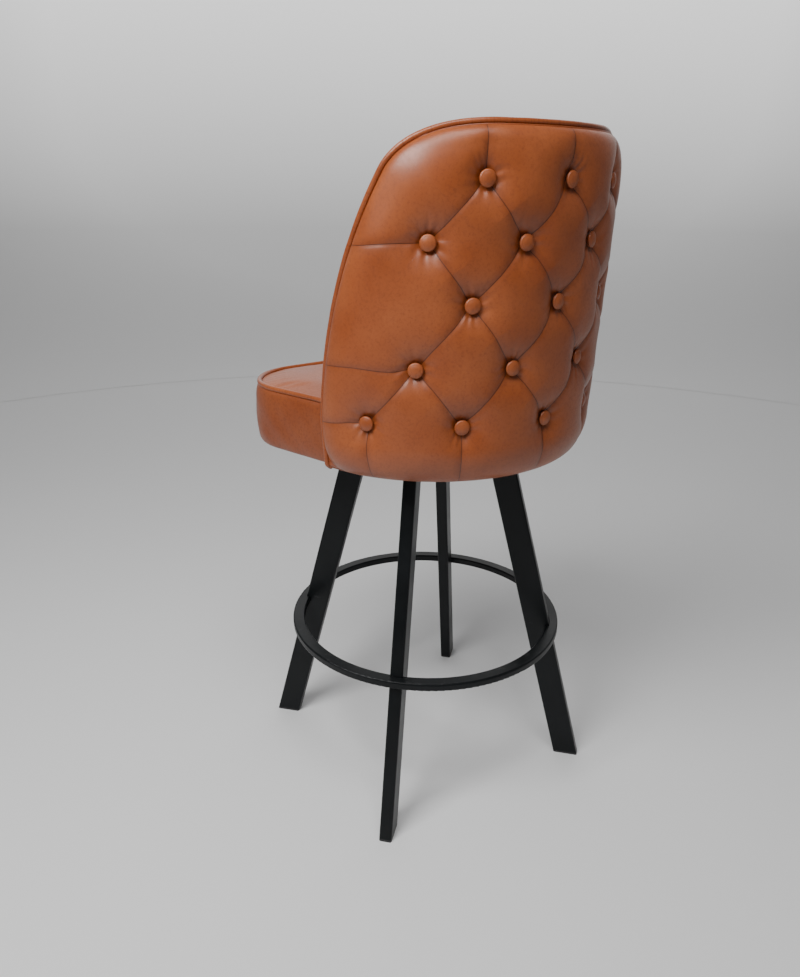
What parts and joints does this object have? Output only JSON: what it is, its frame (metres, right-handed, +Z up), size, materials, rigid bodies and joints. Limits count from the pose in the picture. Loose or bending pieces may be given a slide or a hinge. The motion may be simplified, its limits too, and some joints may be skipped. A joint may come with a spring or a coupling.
{
  "type": "swivel bar stool",
  "caption": "Counter-height swivel stool with a button-tufted bucket back, padded seat and round foot ring on leaning tube legs.",
  "frame": {"origin": "middle of the stool's outline, on the floor", "axes": "+Z up; the sitter faces -Y and the sitter's left is +X"},
  "size_m": [0.4816, 0.4893, 1.0158],
  "materials": {
    "black_steel": "satin powder coat",
    "glide": "matte",
    "zinc": "zinc plated",
    "ball": "polished",
    "cage": "satin",
    "plywood": "unfinished",
    "foam": "open-cell foam",
    "leather": "smooth semi-gloss",
    "welt": "smooth semi-gloss",
    "button": "smooth semi-gloss",
    "dust_cloth": "non-woven"
  },
  "bodies": {
    "base": {"leg_front_left": "black_steel", "leg_front_right": "black_steel", "leg_rear_left": "black_steel", "leg_rear_right": "black_steel", "glide_front_left": "glide", "glide_front_right": "glide", "glide_rear_left": "glide", "glide_rear_right": "glide", "foot_ring": "black_steel", "base_plate": "black_steel", "swivel_lower_plate": "zinc", "swivel_pin": "zinc", "swivel_washer": "zinc", "base_bolts": "zinc", "base_nuts": "zinc"},
    "ball_race": {"bearing_balls": "ball", "ball_cage": "cage"},
    "seat": {"swivel_upper_plate": "zinc", "seat_bolts": "zinc", "tee_nuts": "zinc", "back_bolts": "zinc", "seat_board": "plywood", "rear_rail": "plywood", "back_shell": "plywood", "seat_foam": "foam", "seat_band": "leather", "seat_top": "leather", "seat_welt": "welt", "dust_cover": "dust_cloth", "back_inner_pad": "leather", "back_outer_pad": "leather", "back_welt": "welt", "buttons_row_1": "button", "buttons_row_2": "button", "buttons_row_3": "button", "buttons_row_4": "button", "buttons_row_5": "button"}
  },
  "joints": [
    {"name": "seat_swivel", "type": "hinge", "parent": "base", "child": "seat", "pos_m": [0, -0.01607, 0.562], "axis": [0, 0, 1], "continuous": true},
    {"name": "race_turn", "type": "hinge", "parent": "base", "child": "ball_race", "pos_m": [0, -0.01607, 0.562], "axis": [0, 0, 1], "continuous": true}
  ],
  "couplings": [
    {"joint": "race_turn", "follows": "seat_swivel", "ratio": 0.5}
  ]
}
